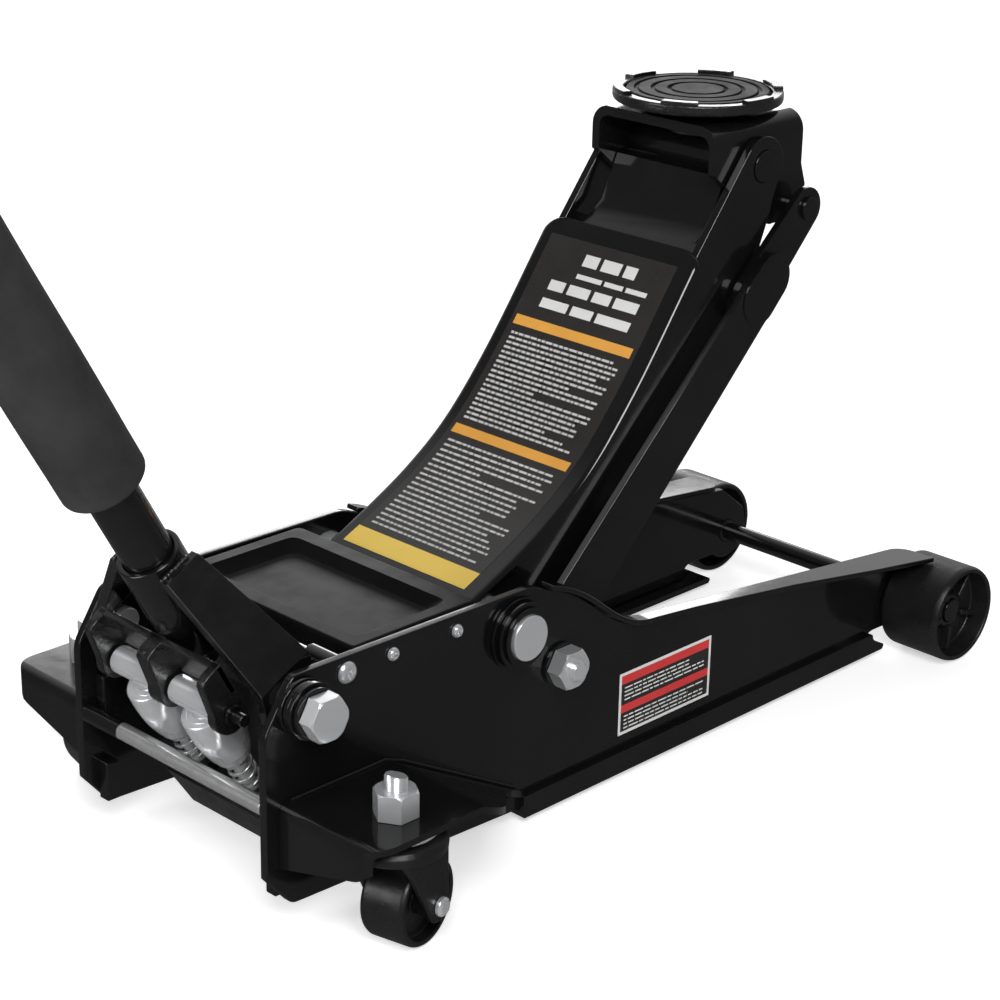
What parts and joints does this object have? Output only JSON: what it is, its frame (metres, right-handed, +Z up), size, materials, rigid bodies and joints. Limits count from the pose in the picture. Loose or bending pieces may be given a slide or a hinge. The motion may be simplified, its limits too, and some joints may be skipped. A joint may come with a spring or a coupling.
{
  "type": "hydraulic floor jack",
  "caption": "Low hydraulic floor jack, half raised: steel plate frame, levelled saddle on a parallelogram arm, long pump handle with a foam sleeve, front wheels and swivel casters.",
  "frame": {"origin": "on the floor under the middle of the whole object, handle included", "axes": "+X towards the front wheels, +Y to the left side of the jack, +Z up"},
  "size_m": [1.2693, 0.408, 1.1238],
  "materials": {
    "black_paint": "gloss black powder coat",
    "cast_iron": "black paint over a rough casting",
    "zinc_plate": "bright zinc plate",
    "bare_steel": "ground bare steel",
    "tray_plastic": "satin moulded, soft rounded rim",
    "grip_rubber": "matt",
    "pad_rubber": "matt, ring grooves",
    "foam": "matt closed-cell foam"
  },
  "bodies": {
    "frame": {"side_plate_left": "black_paint", "side_plate_right": "black_paint", "top_strip_left": "black_paint", "top_strip_right": "black_paint", "rail_left": "black_paint", "rail_right": "black_paint", "caster_wing_left": "black_paint", "caster_wing_right": "black_paint", "rear_rod": "bare_steel", "spreader_rod": "zinc_plate", "tool_tray": "tray_plastic", "front_axle": "black_paint", "caster_stud_left": "zinc_plate", "caster_stud_right": "zinc_plate", "main_pin": "zinc_plate", "link_bolt_left": "zinc_plate", "link_bolt_right": "zinc_plate", "pivot_bolt_left": "zinc_plate", "pivot_bolt_right": "zinc_plate", "pump_block": "cast_iron", "ram_cylinder": "cast_iron", "pump_spring_left": "bare_steel", "pump_spring_right": "bare_steel"},
    "yoke": {"handle_socket": "black_paint", "yoke_arm_left": "black_paint", "yoke_arm_right": "black_paint", "roller_bracket": "black_paint", "roller_pin": "bare_steel"},
    "handle": {"lower_handle_tube": "black_paint", "foam_sleeve": "foam", "upper_handle_tube": "black_paint", "hand_grip": "grip_rubber", "release_dog": "cast_iron"},
    "roller_left": {"pump_roller_left": "zinc_plate"},
    "roller_right": {"pump_roller_right": "zinc_plate"},
    "plunger_left": {"pump_plunger_left": "zinc_plate"},
    "plunger_right": {"pump_plunger_right": "zinc_plate"},
    "lift_arm": {"arm_plate_left": "black_paint", "arm_plate_right": "black_paint", "arm_cover": "black_paint", "arm_cross_plate": "black_paint", "arm_lever": "black_paint", "arm_top_pin": "black_paint"},
    "link_left": {"level_link_left": "black_paint"},
    "link_right": {"level_link_right": "black_paint"},
    "bracket": {"saddle_bracket": "black_paint", "link_pin_left": "black_paint", "link_pin_right": "black_paint"},
    "saddle": {"saddle": "cast_iron", "saddle_pad": "pad_rubber"},
    "push_link": {"push_link": "cast_iron"},
    "ram": {"ram_rod": "bare_steel"},
    "wheel_left": {"front_wheel_left": "cast_iron"},
    "wheel_right": {"front_wheel_right": "cast_iron"},
    "caster_left": {"caster_fork_left": "cast_iron"},
    "caster_right": {"caster_fork_right": "cast_iron"},
    "caster_roll_left": {"caster_wheel_left": "cast_iron"},
    "caster_roll_right": {"caster_wheel_right": "cast_iron"}
  },
  "joints": [
    {"name": "handle_pump", "type": "hinge", "parent": "frame", "child": "yoke", "pos_m": [-0.098, 0, 0.167], "axis": [0, -1, 0], "range_deg": [-20, 42]},
    {"name": "handle_twist", "type": "hinge", "parent": "yoke", "child": "handle", "pos_m": [-0.09188, 0, 0.1704], "axis": [-0.4863, 0, 0.8738], "range_deg": [-90, 90]},
    {"name": "roller_spin_left", "type": "hinge", "parent": "yoke", "child": "roller_left", "pos_m": [-0.12363, 0.032, 0.15445], "axis": [0, 1, 0], "continuous": true},
    {"name": "roller_spin_right", "type": "hinge", "parent": "yoke", "child": "roller_right", "pos_m": [-0.12363, -0.032, 0.15445], "axis": [0, 1, 0], "continuous": true},
    {"name": "plunger_stroke_left", "type": "slide", "parent": "frame", "child": "plunger_left", "axis": [-0.4863, 0, 0.8738], "range_m": [-0.0215, 0.0105], "deforming": ["pump_spring_left"]},
    {"name": "plunger_stroke_right", "type": "slide", "parent": "frame", "child": "plunger_right", "axis": [-0.4863, 0, 0.8738], "range_m": [-0.0215, 0.0105], "deforming": ["pump_spring_right"]},
    {"name": "arm_lift", "type": "hinge", "parent": "frame", "child": "lift_arm", "pos_m": [0.107, 0, 0.1565], "axis": [0, -1, 0], "range_deg": [-57.5, 8]},
    {"name": "link_turn_left", "type": "hinge", "parent": "frame", "child": "link_left", "pos_m": [0.153, 0.081, 0.1175], "axis": [0, -1, 0], "range_deg": [-57.5, 8]},
    {"name": "link_turn_right", "type": "hinge", "parent": "frame", "child": "link_right", "pos_m": [0.153, -0.081, 0.1175], "axis": [0, -1, 0], "range_deg": [-57.5, 8]},
    {"name": "bracket_level", "type": "hinge", "parent": "lift_arm", "child": "bracket", "pos_m": [0.402, 0, 0.444], "axis": [0, -1, 0], "range_deg": [-8, 57.5]},
    {"name": "saddle_spin", "type": "hinge", "parent": "bracket", "child": "saddle", "pos_m": [0.4055, 0, 0.48], "axis": [0, 0, 1], "continuous": true},
    {"name": "push_link_turn", "type": "hinge", "parent": "lift_arm", "child": "push_link", "pos_m": [0.1426, 0, 0.1057], "axis": [0, -1, 0], "range_deg": [-8, 57.5]},
    {"name": "ram_slide", "type": "slide", "parent": "frame", "child": "ram", "axis": [1, 0, 0], "range_m": [-0.0585, 0.0085]},
    {"name": "wheel_roll_left", "type": "hinge", "parent": "frame", "child": "wheel_left", "pos_m": [0.593, 0.1348, 0.0417], "axis": [0, 1, 0], "continuous": true},
    {"name": "wheel_roll_right", "type": "hinge", "parent": "frame", "child": "wheel_right", "pos_m": [0.593, -0.1348, 0.0417], "axis": [0, 1, 0], "continuous": true},
    {"name": "caster_swivel_left", "type": "hinge", "parent": "frame", "child": "caster_left", "pos_m": [-0.07, 0.168, 0.08], "axis": [0, 0, 1], "continuous": true},
    {"name": "caster_swivel_right", "type": "hinge", "parent": "frame", "child": "caster_right", "pos_m": [-0.07, -0.168, 0.08], "axis": [0, 0, 1], "continuous": true},
    {"name": "caster_roll_left", "type": "hinge", "parent": "caster_left", "child": "caster_roll_left", "pos_m": [-0.05636, 0.16485, 0.0325], "axis": [0.225, 0.9744, 0], "continuous": true},
    {"name": "caster_roll_right", "type": "hinge", "parent": "caster_right", "child": "caster_roll_right", "pos_m": [-0.05636, -0.16485, 0.0325], "axis": [-0.225, 0.9744, 0], "continuous": true}
  ],
  "couplings": [
    {"joint": "plunger_stroke_left", "follows": "handle_pump", "m_per_rad": -0.0285},
    {"joint": "plunger_stroke_right", "follows": "handle_pump", "m_per_rad": -0.0285},
    {"joint": "link_turn_left", "follows": "arm_lift", "ratio": 1},
    {"joint": "link_turn_right", "follows": "arm_lift", "ratio": 1},
    {"joint": "bracket_level", "follows": "arm_lift", "ratio": -1},
    {"joint": "push_link_turn", "follows": "arm_lift", "ratio": -1},
    {"joint": "ram_slide", "follows": "arm_lift", "m_per_rad": 0.0577}
  ]
}
